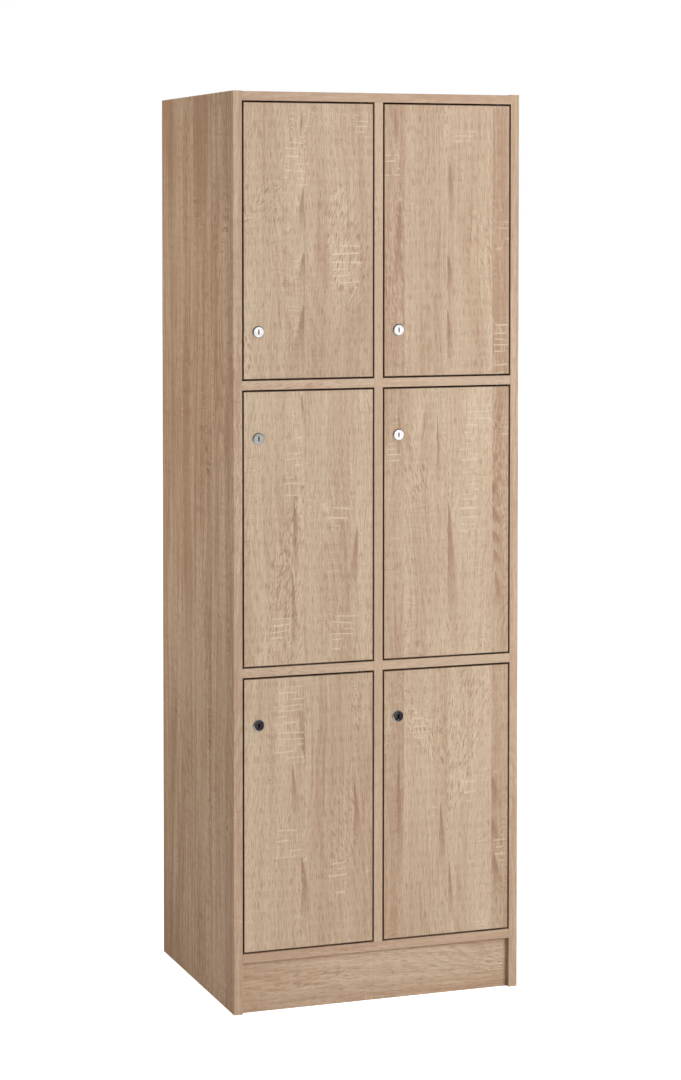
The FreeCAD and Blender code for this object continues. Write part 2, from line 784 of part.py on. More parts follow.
def strike(place_name, face, z, board_name):
    """Strike plate, its screws and the pocket for the bolt.

    face is the x of the board's face that the bolt enters, towards -X."""
    name = place_name + "_strike"
    mid_y = FRONT + BOLT_START + d.tongue_thickness / 2

    def sunk_box(kind, depth, half_y, half_z):
        at = (face - depth, mid_y - half_y, z - half_z)
        return box(f"{name}_{kind}", *at, depth, 2 * half_y, 2 * half_z)

    tools = []
    for i, side in enumerate((-1, 1)):
        at = (face, mid_y, z + side * (d.strike_height / 2 - d.strike_screw))
        screw, hole = screw_and_hole(f"{name}_screw_{i}", at, "-x")
        frame_screws.append(screw)
        tools.append(hole)
    half_y, half_z = d.strike_width / 2, d.strike_height / 2
    plate = sunk_box("plate", d.strike_thickness, half_y, half_z)
    seat = sunk_box("seat", d.strike_thickness, half_y + d.fit_play, half_z + d.fit_play)
    half_y = d.tongue_thickness / 2 + d.strike_play
    half_z = d.tongue_height / 2 + d.strike_play
    window = sunk_box("window", d.strike_thickness, half_y, half_z)
    room = sunk_box("room", d.pocket_depth, half_y, half_z)
    strikes.append(cut(name, plate, [window, *tools]))
    holes.add(board_name, seat, room, *tools)


# --------------------------------------------------------------------- doors
def edged_door(name, x, low, door_width, door_height, tools):
    """Door board with a strip on each of its four edges, and its holes."""
    raw = box(name + "_raw", x, FRONT, low, door_width, d.board, door_height)
    faces = (FRONT.value, (FRONT + d.board).value)

    def rim(edge):
        return any(all(abs(v.Y - y) < CLOSE for v in edge.Vertexes) for y in faces)

    def strip_zone(kind, left, bottom, length, height):
        return box(f"{name}_{kind}", left, FRONT, bottom, length, d.board, height)

    whole = rounded(name + "_rounded", raw, rim)
    thin, inner = d.edging, door_height - 2 * d.edging
    zones = [
        strip_zone("low", x, low, door_width, thin),
        strip_zone("high", x, low + door_height - thin, door_width, thin),
        strip_zone("free", x, low + thin, thin, inner),
        strip_zone("hinge", x + door_width - thin, low + thin, thin, inner),
    ]
    drilled = cut(name + "_drilled", whole, tools)
    core = cut(name + "_core", drilled, zones)
    strips = [common(f"{name}_strip_{i}", drilled, z) for i, z in enumerate(zones)]
    return sub_part(name, group(name, [core, *strips]))


BOARDS_ABOVE = {"top": "top_panel", "middle": "shelf_upper_{}", "bottom": "shelf_lower_{}"}
BOARDS_BELOW = {"top": "shelf_upper_{}", "middle": "shelf_lower_{}", "bottom": "bottom_panel"}
KEEPERS = {"left": "left_side_panel", "right": "centre_partition"}


def door(row, side):
    """One door with its hinges and lock, and what they need in the carcass."""
    at = f"{row}_{side}"
    opening = COLUMNS[side]
    floor, ceiling = row_floor(row), row_floor(row) + CLEAR_Z
    x, low, high = opening + d.side_gap, floor + d.end_gap, ceiling - d.end_gap
    door_width, door_height = CLEAR_X - 2 * d.side_gap, CLEAR_Z - 2 * d.end_gap

    px, py = x + door_width - d.pivot_inset, FRONT + d.pivot_setback
    frame_hinge(at, 1, px, py, BOARDS_ABOVE[row].format(side), ceiling)
    frame_hinge(at, -1, px, py, BOARDS_BELOW[row].format(side), floor)
    leaves, tools = door_hinges(at, px, py, low, high)
    name = f"door_hinge_leaves_{at}"
    sub_part(name, group(name, leaves))

    lock_x = x + d.lock_inset
    upwards = 1 if row == "top" else -1
    lock_z = low + d.lock_offset if row == "top" else high - d.lock_offset
    screws, screw_holes = case_screws(at, lock_x, lock_z)
    radius = d.barrel_radius + d.fit_play
    tools.append(rod(at + "_barrel_hole", lock_x, FRONT, lock_z, radius, d.board, "+y"))
    edged_door(f"door_panel_{at}", x, low, door_width, door_height, tools + screw_holes)
    lock_cylinder(f"lock_cylinder_{at}", lock_x, lock_z)
    key_plug(f"key_plug_{at}", lock_x, lock_z)
    lock_bolt(f"lock_bolt_{at}", lock_x, lock_z)
    lock_case(f"lock_case_{at}", lock_x, lock_z, screws, screw_holes)
    lock_cover(f"lock_cover_{at}", lock_x, lock_z, screw_holes)

    strike(at, opening, lock_z, KEEPERS[side])
    stop_z = lock_z + upwards * d.stop_offset - d.stop_height / 2
    size = (d.stop_reach, d.stop_depth, d.stop_height)
    stops.append(box(at + "_stop", opening, FRONT + d.board + d.stop_play, stop_z, *size))


# ---------------------------------------------------------------------- build
dowel_joints()
for row_name in ("top", "middle", "bottom"):
    for side_name in COLUMNS:
        door(row_name, side_name)
carcass()
for label, solids in (
    ("frame_hinge_leaves", frame_leaves),
    ("hinge_pins", pins),
    ("hinge_washers", washers),
    ("strike_plates", strikes),
    ("frame_screws", frame_screws),
    ("panel_dowels", dowels),
    ("door_stops", stops),
):
    sub_part(label, group(label, solids))
doc.recompute()

for thing in doc.Objects:
    if "Invalid" in thing.State or "Error" in thing.State:
        raise RuntimeError(f"{thing.Name} failed: {thing.State}")
os.makedirs("parts", exist_ok=True)
for thing in sub_parts:
    shape = thing.Shape
    if shape.isNull() or not shape.isValid():
        raise RuntimeError(f"{thing.Label} has a bad shape")
    shape.exportStep(f"parts/{thing.Label}.step")
print(len(sub_parts), "sub-parts")
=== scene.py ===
"""Looks of the six-door locker: oak-grain boards, metal locks and a white studio."""

import math
from collections import namedtuple

import bpy
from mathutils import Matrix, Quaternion, Vector

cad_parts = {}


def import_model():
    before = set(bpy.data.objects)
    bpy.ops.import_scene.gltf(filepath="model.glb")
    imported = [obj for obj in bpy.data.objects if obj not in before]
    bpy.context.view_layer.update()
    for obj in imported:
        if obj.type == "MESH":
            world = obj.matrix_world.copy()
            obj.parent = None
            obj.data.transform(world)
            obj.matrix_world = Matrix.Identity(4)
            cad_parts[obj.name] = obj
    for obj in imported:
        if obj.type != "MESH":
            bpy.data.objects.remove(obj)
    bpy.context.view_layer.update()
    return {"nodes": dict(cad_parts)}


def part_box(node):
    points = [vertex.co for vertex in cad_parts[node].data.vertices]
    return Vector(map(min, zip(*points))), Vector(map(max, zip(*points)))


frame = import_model()
nodes = frame["nodes"]
FRONT, BACK = (corner.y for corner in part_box("left_side_panel"))
ROWS = ("top", "middle", "bottom")
SIDES = ("left", "right")
DOORS = [f"{row}_{side}" for row in ROWS for side in SIDES]


# ------------------------------------------------------------------ node trees
class Tree:
    """Short names for building a node tree."""

    def __init__(self, tree):
        self.tree = tree
        self.tree.nodes.clear()

    def node(self, kind, inputs=(), **settings):
        made = self.tree.nodes.new(kind)
        for name, value in settings.items():
            setattr(made, name, value)
        for name, value in dict(inputs).items():
            self.feed(made.inputs[name], value)
        return made

    def feed(self, socket, value):
        """Links a socket to another node's output, or sets it to a plain value."""
        if isinstance(value, bpy.types.NodeSocket):
            self.tree.links.new(value, socket)
        else:
            socket.default_value = value

    def math(self, operation, a, b=0.0):
        return self.node("ShaderNodeMath", {0: a, 1: b}, operation=operation).outputs[0]

    def vector(self, operation, a, b=(0.0, 0.0, 0.0)):
        made = self.node("ShaderNodeVectorMath", {0: a, 1: b}, operation=operation)
        return made.outputs["Value" if operation == "LENGTH" else "Vector"]

    def parts(self, vector):
        """The X, Y and Z of a vector."""
        return self.node("ShaderNodeSeparateXYZ", {0: vector}).outputs

    def join(self, **parts):
        """Vector with the X, Y and Z given, or 0 for the others."""
        return self.node("ShaderNodeCombineXYZ", parts).outputs[0]

    def here(self):
        """Place in the piece's own frame, in metres."""
        return self.node("ShaderNodeTexCoord").outputs["Object"]

    def total(self, start, weighted):
        """start plus each value times its weight."""
        for value, weight in weighted:
            start = self.math("ADD", start, self.math("MULTIPLY", value, weight))
        return start

    def ramp(self, value, low, high, to_low=0.0, to_high=1.0, smooth=True):
        """value going from low to high, as a number from to_low to to_high."""
        made = self.node(
            "ShaderNodeMapRange",
            {
                "Value": value,
                "From Min": low,
                "From Max": high,
                "To Min": to_low,
                "To Max": to_high,
            },
            interpolation_type="SMOOTHSTEP" if smooth else "LINEAR",
        )
        return made.outputs["Result"]

    def noise(self, vector, scale, detail=2.0, roughness=0.5, seed=(0.0, 0.0)):
        """Noise from 0 to 1; scale is its waves per metre on two axes, or on all three."""
        place = self.vector("ADD", vector, (*seed, 0.0))
        place = self.vector("MULTIPLY", place, (*scale, 1.0)[:3])
        made = self.node(
            "ShaderNodeTexNoise",
            {"Vector": place, "Scale": 1.0, "Detail": detail, "Roughness": roughness},
            noise_dimensions="2D" if len(scale) == 2 else "3D",
        )
        return made.outputs["Fac"]

    def mix(self, factor, a, b):
        """Colour a at a factor of 0, colour b at 1."""
        made = self.node("ShaderNodeMix", {"Factor": factor, 6: a, 7: b}, data_type="RGBA")
        return made.outputs[2]

    def bump(self, height, strength, depth):
        """Normal of a relief; depth is its height in metres where height is 1."""
        inputs = {"Height": height, "Strength": strength, "Distance": depth}
        return self.node("ShaderNodeBump", inputs).outputs[0]


def colour(red, green, blue):
    """Linear colour of an sRGB colour with parts from 0 to 255."""

    def linear(part):
        part /= 255
        return part / 12.92 if part <= 0.04045 else ((part + 0.055) / 1.055) ** 2.4

    return (linear(red), linear(green), linear(blue), 1.0)


def grey(level):
    """Linear grey from 0, black, to 1, white."""
    return (level, level, level, 1.0)


def new_material(name):
    """Empty material, with its tree and its shader."""
    made = bpy.data.materials.new(name)
    made.use_nodes = True
    tree = Tree(made.node_tree)
    output = tree.node("ShaderNodeOutputMaterial")
    shader = tree.node("ShaderNodeBsdfPrincipled")
    tree.feed(output.inputs["Surface"], shader.outputs[0])
    return made, tree, shader


def new_group(name, inputs, outputs):
    """Empty node group, with its tree and the sockets that it is given."""
    group = bpy.data.node_groups.new(name, "ShaderNodeTree")
    for way, sockets in (("INPUT", inputs), ("OUTPUT", outputs)):
        for socket, kind in sockets.items():
            group.interface.new_socket(socket, in_out=way, socket_type="NodeSocket" + kind)
    tree = Tree(group)
    return group, tree, tree.node("NodeGroupInput").outputs


# ------------------------------------------------------------------- oak print
OAK_PALE = colour(215, 194, 168)
OAK_PINK = colour(181, 148, 121)
OAK_LINE = colour(142, 108, 82)
OAK_FLAME = colour(158, 121, 94)
OAK_CUT = colour(228, 211, 188)

# Noise layers: waves per metre across the grain and along it, detail, roughness, seed,
# and the stretch of the noise that is shown as 0 to 1.
Layer = namedtuple("Layer", "scale detail roughness seed stretch", defaults=((0.0, 1.0),))
LAYERS = {
    "sway": Layer((4.0, 1.7), 1.0, 0.5, (3.1, 5.3)),
    "quiver": Layer((24.0, 9.0), 1.0, 0.5, (1.9, 2.6)),
    "bands": Layer((20.0, 0.45), 3.0, 0.6, (0.0, 0.0), (0.32, 0.68)),
    "clouds": Layer((7.0, 2.2), 2.0, 0.5, (1.7, 4.1), (0.30, 0.70)),
    "streaks": Layer((120.0, 2.6), 3.0, 0.65, (0.9, 7.7), (0.30, 0.70)),
    "fibres": Layer((520.0, 14.0), 2.0, 0.6, (5.5, 2.4), (0.28, 0.72)),
    "ring_swell": Layer((8.0, 1.05), 1.0, 0.4, (8.3, 2.9)),
    "ring_places": Layer((9.0, 1.6), 1.0, 0.5, (2.2, 9.1), (0.40, 0.68)),
    "coarse_places": Layer((11.0, 3.0), 2.0, 0.5, (3.6, 0.8), (0.35, 0.62)),
    "dashes": Layer((330.0, 46.0), 3.0, 0.7, (0.4, 6.6), (0.52, 0.62)),
    "flecks": Layer((210.0, 44.0), 3.0, 0.7, (7.4, 1.2), (0.55, 0.67)),
    "pores": Layer((560.0, 46.0), 1.0, 0.5, (4.4, 8.6), (0.56, 0.66)),
    "saw_wobble": Layer((3.5, 16.0), 1.0, 0.5, (7.1, 0.6)),
    "saw_breaks": Layer((24.0, 64.0), 1.0, 0.5, (2.3, 6.1), (0.44, 0.52)),
    "saw_scratches": Layer((330.0, 30.0), 1.0, 0.5, (4.6, 3.5), (0.58, 0.66)),
    "sawn_places": Layer((19.0, 8.0), 2.0, 0.6, (6.0, 9.4), (0.66, 0.76)),
    "flame_edge": Layer((30.0, 14.0), 2.0, 0.6, (2.0, 1.0)),
    "patch_edge": Layer((45.0, 30.0), 2.0, 0.6, (5.0, 3.0)),
}

PLANK_STEP = {"X": 7.3, "Y": 3.1}  # metres on the print between neighbouring planks
SWAY = 0.020  # metres that the grain wanders slowly
QUIVER = 0.004  # metres that it wanders quickly
LEAN = 0.24  # most that the dashes lean, in metres sideways for each metre of length
LEAN_STRETCH = (0.30, 0.70)  # stretch of the slow noise over which the lean changes
FAINTEST_DASHES = 0.65

RINGS = 26.0  # year rings over the whole height of the swell
RING_RISE = (0.25, 0.93)  # shares of a ring between which it darkens
RING_END = (1.0, 0.94)  # shares of a ring between which its dark line ends
KNOT_SHOWS = (0.02, 0.10)  # knot heights between which its rings appear

SAW_LINES = 72.0  # saw lines in a metre
SAW_WOBBLE = 0.035  # metres that a line strays
SAW_FADE = (0.15, 0.05)  # edge of a line, as shares of the room between two
SCRATCHES = 0.5  # strength of the scratches along the grain
STRAY_CUTS = 0.6  # strength of the saw marks outside the patches

# How much each layer darkens the oak, the start that evens them out, and the tones that
# are shown from pale to pink.
SHADES = {"bands": 0.42, "clouds": 0.24, "streaks": 0.19, "fibres": 0.17, "rings": 0.30}
SHADE_START = -0.42
TONES = (-0.55, 0.65)
# What is painted on the oak, in this order, with its strength.
PAINTS = {
    "flames": (0.75, OAK_FLAME),
    "dashes": (0.58, OAK_LINE),
    "pores": (0.36, OAK_LINE),
    "flecks": (0.34, OAK_CUT),
    "cuts": (0.60, OAK_CUT),
}
# How high each layer stands on the surface, and how rough the layers make it.
RELIEF = {"pits": -1.0, "fibres": 0.25, "cuts": 0.8, "rings": -0.3}
OAK_ROUGHNESS = (0.46, 0.58)
DASH_ROUGHNESS = 0.08


def raw(tree, name, place):
    """Noise of a layer, from 0 to 1."""
    scale, detail, roughness, seed, _ = LAYERS[name]
    return tree.noise(place, scale, detail, roughness, seed)


def layer(tree, name, place, to_low=0.0, to_high=1.0, smooth=True):
    """Layer with its stretch of noise shown as to_low to to_high."""
    return tree.ramp(raw(tree, name, place), *LAYERS[name].stretch, to_low, to_high, smooth)


def year_rings(tree, place, swayed, knot):
    """Level lines of a slow, tall swell, each dark on one side and fading at its ends."""
    swell = tree.math("ADD", raw(tree, "ring_swell", swayed), knot)
    phase = tree.math("FRACT", tree.math("MULTIPLY", swell, RINGS))
    line = tree.math("MULTIPLY", tree.ramp(phase, *RING_RISE), tree.ramp(phase, *RING_END))
    shown = layer(tree, "ring_places", place)
    shown = tree.math("MAXIMUM", shown, tree.ramp(knot, *KNOT_SHOWS))
    return tree.math("MULTIPLY", line, shown)


def saw_marks(tree, place, cuts):
    """Ladders that a rough saw leaves: broken lines across the grain, scratches along it."""
    wobble = tree.math("MULTIPLY", raw(tree, "saw_wobble", place), SAW_WOBBLE)
    level = tree.math("ADD", tree.parts(place)["Y"], wobble)
    phase = tree.math("FRACT", tree.math("MULTIPLY", level, SAW_LINES))
    off_line = tree.math("ABSOLUTE", tree.math("SUBTRACT", phase, 0.5))
    lines = tree.ramp(off_line, *SAW_FADE)
    lines = tree.math("MULTIPLY", lines, layer(tree, "saw_breaks", place))
    scratches = tree.math("MULTIPLY", layer(tree, "saw_scratches", place), SCRATCHES)
    shown = tree.math("MAXIMUM", layer(tree, "sawn_places", place, 0.0, STRAY_CUTS), cuts)
    return tree.math("MULTIPLY", tree.math("MAXIMUM", lines, scratches), shown)


def oak_layers(tree, place, given):
    """Every layer of the oak print by name, read at place."""
    # The grain wanders a little, so most layers are read at a place pushed sideways.
    slow = raw(tree, "sway", place)
    quick = layer(tree, "quiver", place, -QUIVER, QUIVER, smooth=False)
    sway = tree.math("ADD", tree.ramp(slow, 0.0, 1.0, -SWAY, SWAY, smooth=False), quick)
    swayed = tree.vector("ADD", place, tree.join(X=sway))
    parts = tree.parts(swayed)
    lean = tree.ramp(slow, *LEAN_STRETCH, -LEAN, LEAN, smooth=False)
    leaned = tree.math("ADD", parts["X"], tree.math("MULTIPLY", parts["Y"], lean))
    leaned = tree.join(X=leaned, Y=parts["Y"])
    coarse = layer(tree, "coarse_places", place, FAINTEST_DASHES, 1.0)
    layers = {
        "bands": layer(tree, "bands", swayed),
        "clouds": layer(tree, "clouds", place),
        "streaks": layer(tree, "streaks", swayed, -1.0, 1.0),
        "fibres": layer(tree, "fibres", swayed, -1.0, 1.0),
        "rings": year_rings(tree, place, swayed, given["Knot"]),
        "flames": given["Flame"],
        "dashes": tree.math("MULTIPLY", layer(tree, "dashes", leaned), coarse),
        "pores": layer(tree, "pores", swayed),
        "flecks": layer(tree, "flecks", leaned),
        "cuts": saw_marks(tree, place, given["Cuts"]),
    }
    layers["pits"] = tree.math("MAXIMUM", layers["pores"], layers["dashes"])
    return layers


def oak_group():
    """Oak print on a flat place: first coordinate across the grain, second along it.

    Plank tells neighbouring planks apart, Tone darkens, Flame draws dark flames,
    Knot bends the year rings and Cuts shows the marks of a rough saw."""
    numbers = ("Plank", "Tone", "Contrast", "Flame", "Knot", "Cuts")
    inputs = {"Place": "Vector"} | dict.fromkeys(numbers, "Float")
    outputs = {"Colour": "Color", "Roughness": "Float", "Height": "Float"}
    group, tree, given = new_group("oak_print", inputs, outputs)
    plank = given["Plank"]
    shift = {axis: tree.math("MULTIPLY", plank, step) for axis, step in PLANK_STEP.items()}
    place = tree.vector("ADD", given["Place"], tree.join(**shift))
    layers = oak_layers(tree, place, given)

    shade = tree.total(SHADE_START, ((layers[name], share) for name, share in SHADES.items()))
    tone = tree.math("ADD", tree.math("MULTIPLY", shade, given["Contrast"]), given["Tone"])
    base = tree.mix(tree.ramp(tone, *TONES, smooth=False), OAK_PALE, OAK_PINK)
    for name, (amount, tint) in PAINTS.items():
        base = tree.mix(tree.math("MULTIPLY", layers[name], amount), base, tint)
    rough = tree.ramp(layers["fibres"], -1.0, 1.0, *OAK_ROUGHNESS)
    rough = tree.total(rough, [(layers["dashes"], DASH_ROUGHNESS)])
    height = tree.total(0.0, ((layers[name], rise) for name, rise in RELIEF.items()))
    tree.node("NodeGroupOutput", {"Colour": base, "Roughness": rough, "Height": height})
    return group


# ------------------------------------------------- flames, saw patches and knots
# The width of a flame grows with a power of the way from its tip. Each edge fades over
# a stretch of its width, and each end over a stretch of its reach.
FLAME_POWER = 0.7
FLAME_LEAST = 0.04  # width at the tip, as a share of the full one
FLAME_WAVER = 0.25  # how far the edges waver, as a share of the width
FLAME_STRAIGHT = (-0.10, 0.05)
FLAME_OPEN = (1.0, 0.45)
FLAME_TIP = (0.0, 0.03)
FLAME_TAIL = (1.0, 0.15)

PATCH_FADE = (1.05, 0.75)  # edge of a saw patch, as shares of its size
PATCH_RAGGED = 0.4  # how far that edge strays


def flame_group():
    """Half-lens with a sharp tip at Tip, wide and faint at its other end.

    Reach is how far it runs along the grain, upwards if positive. Width is its width,
    to the right if positive, with the other edge straight."""
    inputs = {"Place": "Vector", "Tip": "Vector", "Width": "Float", "Reach": "Float"}
    group, tree, given = new_group("flame", inputs, {"Shade": "Float"})
    parts = tree.parts(tree.vector("SUBTRACT", given["Place"], given["Tip"]))
    along = tree.math("DIVIDE", parts["Y"], given["Reach"])
    opening = tree.math("POWER", tree.math("MAXIMUM", along, 0.0), FLAME_POWER)
    opening = tree.math("MAXIMUM", opening, FLAME_LEAST)
    across = tree.math("DIVIDE", tree.math("DIVIDE", parts["X"], given["Width"]), opening)
    waver = layer(tree, "flame_edge", given["Place"], -FLAME_WAVER, FLAME_WAVER, smooth=False)
    across = tree.math("ADD", across, waver)
    shade = tree.ramp(across, *FLAME_STRAIGHT)
    for value, stretch in ((across, FLAME_OPEN), (along, FLAME_TIP), (along, FLAME_TAIL)):
        shade = tree.math("MULTIPLY", shade, tree.ramp(value, *stretch))
    tree.node("NodeGroupOutput", {"Shade": shade})
    return group


def around_group(name):
    """Empty node group for a shade round Centre, with the way from there as shares of Size."""
    inputs = {"Place": "Vector", "Centre": "Vector", "Size": "Vector"}
    group, tree, given = new_group(name, inputs, {"Shade": "Float"})
    away = tree.vector("SUBTRACT", given["Place"], given["Centre"])
    return group, tree, given, tree.parts(tree.vector("DIVIDE", away, given["Size"]))


def patch_group():
    """1 in the middle of a patch round Centre, 0 past Size from it, with a ragged edge."""
    group, tree, given, parts = around_group("patch")
    sides = (tree.math("ABSOLUTE", parts[axis]) for axis in "XY")
    ragged = layer(tree, "patch_edge", given["Place"], -PATCH_RAGGED, PATCH_RAGGED)
    distance = tree.math("ADD", tree.math("MAXIMUM", *sides), ragged)
    tree.node("NodeGroupOutput", {"Shade": tree.ramp(distance, *PATCH_FADE)})
    return group


def swell_group():
    """Smooth bump of height 1 at Centre; Size is how fast it falls on each axis."""
    group, tree, _, parts = around_group("swell")
    distance = tree.vector("LENGTH", tree.join(X=parts["X"], Y=parts["Y"]))
    fall = tree.math("MULTIPLY", distance, tree.math("MULTIPLY", distance, -1.0))
    tree.node("NodeGroupOutput", {"Shade": tree.math("POWER", math.e, fall)})
    return group


OAK = oak_group()
FLAME = flame_group()
PATCH = patch_group()
SWELL = swell_group()


# ---------------------------------------------------------------- oak materials
EDGE_TINT = colour(206, 176, 152)
# Painted shade: dark brown standing for the narrow gaps round the doors, laid on their edges and a
# rim of their fronts.
DOOR_GAP_SHADE = colour(76, 47, 26)
CHIP_PALE = colour(196, 164, 122)
CHIP_DARK = colour(128, 96, 62)

OAK_DEPTH = 0.0003  # depth of the deepest pits
EDGING = 0.001  # thickness of the strips on the boards' front edges
EDGING_SHARE = 0.35  # how strongly they take their tint
GAP_SHADE_RIM = {"X": 0.0009, "Z": 0.0014}  # painted shade of the gaps round a door, as a dark rim on its front: at its sides, at its ends
GAP_SHADE_FADE = 0.0003
GAP_SHADE_SHARE = 0.85  # how strongly the rim and the door's edges take the painted gap shade
RAW_DEPTH = 0.0002  # chipboard shows within this of the back face of the boards
CHIPS = 300.0  # chips in a metre
CHIP_STRETCH = (0.4, 0.6)
PLANK_WIDTH = 0.125  # planks printed on the boards
PLANK_TONES = (-0.12, 0.16)  # how much darker than their board they are

# Planks of the two columns of doors: right edge of each, as a share of the door's
# width, and how much darker it is than plain oak.
PLANKS = {
    "left": ((0.46, -0.06), (1.0, 0.04)),
    "right": ((0.16, 0.26), (0.505, -0.06), (0.865, -0.16), (1.0, 0.42)),
}
# How much darker each row of doors is.
ROW_TONE = {"top": 0.02, "middle": -0.20, "bottom": -0.13}
FIRST_PLANK = 1.0  # plank number at the left of the first door
DOOR_STEP = 0.37  # step of that number from door to door
KNOT_HEIGHT = 0.35

# What shows on each door, in shares of its width from the left and of its height from
# the top. A flame has its tip, its width (to the left if negative) and its reach (down,
# or up if negative). A saw patch and a knot have a centre and a half size.
FLAMES = {
    "top_left": (
        (0.45, 0.03, -0.05, 0.14),
        (0.46, 0.31, -0.09, 0.22),
        (0.465, 0.54, -0.10, 0.15),
        (0.465, 0.73, -0.15, 0.27),
    ),
    "top_right": (
        (0.51, 0.20, 0.10, 0.26),
        (0.50, 0.55, 0.09, 0.18),
        (0.50, 0.75, 0.09, 0.25),
        (0.08, 0.01, 0.06, 0.16),
        (0.13, 0.34, -0.10, 0.40),
    ),
    "middle_left": (
        (0.44, 0.01, 0.06, 0.14),
        (0.38, 0.40, 0.09, 0.30),
        (0.37, 0.66, 0.08, 0.34),
        (0.88, 0.50, -0.12, 0.30),
    ),
    "middle_right": (
        (0.11, 0.06, 0.07, 0.30),
        (0.51, 0.42, 0.12, 0.55),
        (0.42, 0.10, 0.05, 0.30),
        (0.87, 0.35, 0.11, 0.10),
        (0.87, 0.45, 0.13, 0.09),
        (0.87, 0.54, 0.13, 0.08),
        (0.88, 0.61, 0.12, 0.08),
        (0.89, 0.69, 0.11, 0.18),
    ),
    "bottom_left": (
        (0.47, 0.31, -0.12, -0.30),
        (0.37, 0.32, 0.08, 0.24),
        (0.44, 0.66, 0.12, 0.30),
        (0.85, 0.40, 0.10, 0.30),
    ),
    "bottom_right": (
        (0.11, 0.30, 0.08, 0.60),
        (0.45, 0.50, 0.08, 0.30),
        (0.52, 0.72, 0.07, 0.28),
        (0.87, 0.42, 0.12, 0.16),
        (0.87, 0.58, 0.13, 0.12),
        (0.88, 0.70, 0.12, 0.20),
    ),
}
SAW_PATCHES = {
    "top_left": ((0.40, 0.19, 0.10, 0.11), (0.77, 0.60, 0.12, 0.09), (0.92, 0.07, 0.06, 0.05)),
    "top_right": ((0.64, 0.13, 0.08, 0.04), (0.93, 0.90, 0.07, 0.11), (0.06, 0.22, 0.06, 0.06)),
    "middle_left": (
        (0.38, 0.28, 0.07, 0.12),
        (0.29, 0.87, 0.08, 0.07),
        (0.77, 0.90, 0.11, 0.07),
        (0.72, 0.48, 0.10, 0.06),
    ),
    "middle_right": ((0.75, 0.13, 0.11, 0.11), (0.68, 0.40, 0.07, 0.17), (0.07, 0.24, 0.06, 0.06)),
    "bottom_left": ((0.36, 0.16, 0.13, 0.15), (0.36, 0.62, 0.11, 0.07), (0.73, 0.76, 0.07, 0.08)),
    "bottom_right": ((0.30, 0.20, 0.08, 0.06), (0.68, 0.46, 0.07, 0.05), (0.94, 0.70, 0.06, 0.06)),
}
KNOTS = {
    "top_left": ((0.80, 0.50, 0.07, 0.06),),
    "top_right": ((0.97, 0.42, 0.05, 0.06),),
    "middle_left": ((0.84, 0.79, 0.14, 0.06),),
    "middle_right": ((1.00, 0.62, 0.10, 0.20),),
    "bottom_left": (),
    "bottom_right": ((1.00, 0.72, 0.09, 0.12),),
}


def flat_place(tree, parts, grain, cut):
    """Place on a board as (across the grain, along it, 0), moved by cut."""
    along, beside = ("Z", "X") if grain == "Z" else ("X", "Z")
    across = tree.math("ADD", parts[beside], parts["Y"])
    return tree.vector("ADD", tree.join(X=across, Y=parts[along]), cut)


def finish_oak(tree, shader, place, edging_and_shade, contrast=1.0, **layers):
    """Feeds the oak print into a shader, and paints on it a mask and its tint: a board's edging
    strips, and on a door the painted shade of the gaps round it.
    """
    inputs = {"Place": place, "Contrast": contrast} | layers
    printed = tree.node("ShaderNodeGroup", inputs, node_tree=OAK).outputs
    mask, tint = edging_and_shade
    tree.feed(shader.inputs["Base Color"], tree.mix(mask, printed["Colour"], tint))
    tree.feed(shader.inputs["Roughness"], printed["Roughness"])
    tree.feed(shader.inputs["Normal"], tree.bump(printed["Height"], 0.35, OAK_DEPTH))
    shader.inputs["Specular IOR Level"].default_value = 0.3


def oak(name, cut, grain="Z", tone=0.0, contrast=1.0, raw_edge=True):
    """Oak-faced board made of planks of one width; grain is the axis it runs along.

    Cut is where on the print it lies. With raw_edge, chipboard shows at its back."""
    made, tree, shader = new_material(name)
    here = tree.here()
    parts = tree.parts(here)
    place = flat_place(tree, parts, grain, cut)
    plank = tree.math("FLOOR", tree.math("DIVIDE", tree.parts(place)["X"], PLANK_WIDTH))
    luck = tree.node("ShaderNodeTexWhiteNoise", {"W": plank}, noise_dimensions="1D")
    luck = tree.ramp(luck.outputs["Value"], 0.0, 1.0, *PLANK_TONES, smooth=False)
    tone = tree.math("ADD", luck, tone)
    mask = tree.math("LESS_THAN", parts["Y"], FRONT + EDGING)
    mask, tint = tree.math("MULTIPLY", mask, EDGING_SHARE), EDGE_TINT
    if raw_edge:
        behind = tree.math("GREATER_THAN", parts["Y"], BACK - RAW_DEPTH)
        chips = tree.noise(here, (CHIPS,) * 3, detail=3.0, roughness=0.7)
        chips = tree.mix(tree.ramp(chips, *CHIP_STRETCH), CHIP_PALE, CHIP_DARK)
        mask, tint = tree.math("MAXIMUM", mask, behind), tree.mix(behind, EDGE_TINT, chips)
    finish_oak(tree, shader, place, (mask, tint), contrast, Plank=plank, Tone=tone)
    return made


def door_planks(tree, across, edges):
    """Number of the plank at a place across the grain, and how much darker it is.

    Edges holds the right edge and the tone of each plank."""
    plank, tone = 0.0, edges[0][1]
    for (edge, shade), (_, next_shade) in zip(edges, edges[1:]):
        past = tree.math("GREATER_THAN", across, edge)
        plank = tree.math("ADD", past, plank)
        tone = tree.math("ADD", tree.math("MULTIPLY", past, next_shade - shade), tone)
    return plank, tone


def door_gap_shade(tree, parts, low, high):
    """0 on a door's front, 1 on its rim and its four edges, where the shade of the gaps round it
    is painted.
    """
    gap_shade = 0.0
    for axis, start, stop in (("X", low.x, high.x), ("Z", low.z, high.z)):
        middle, reach = (start + stop) / 2, (stop - start) / 2 - GAP_SHADE_RIM[axis]
        out = tree.math("ABSOLUTE", tree.math("SUBTRACT", parts[axis], middle))
        gap_shade = tree.math("MAXIMUM", gap_shade, tree.ramp(out, reach, reach + GAP_SHADE_FADE))
    return gap_shade


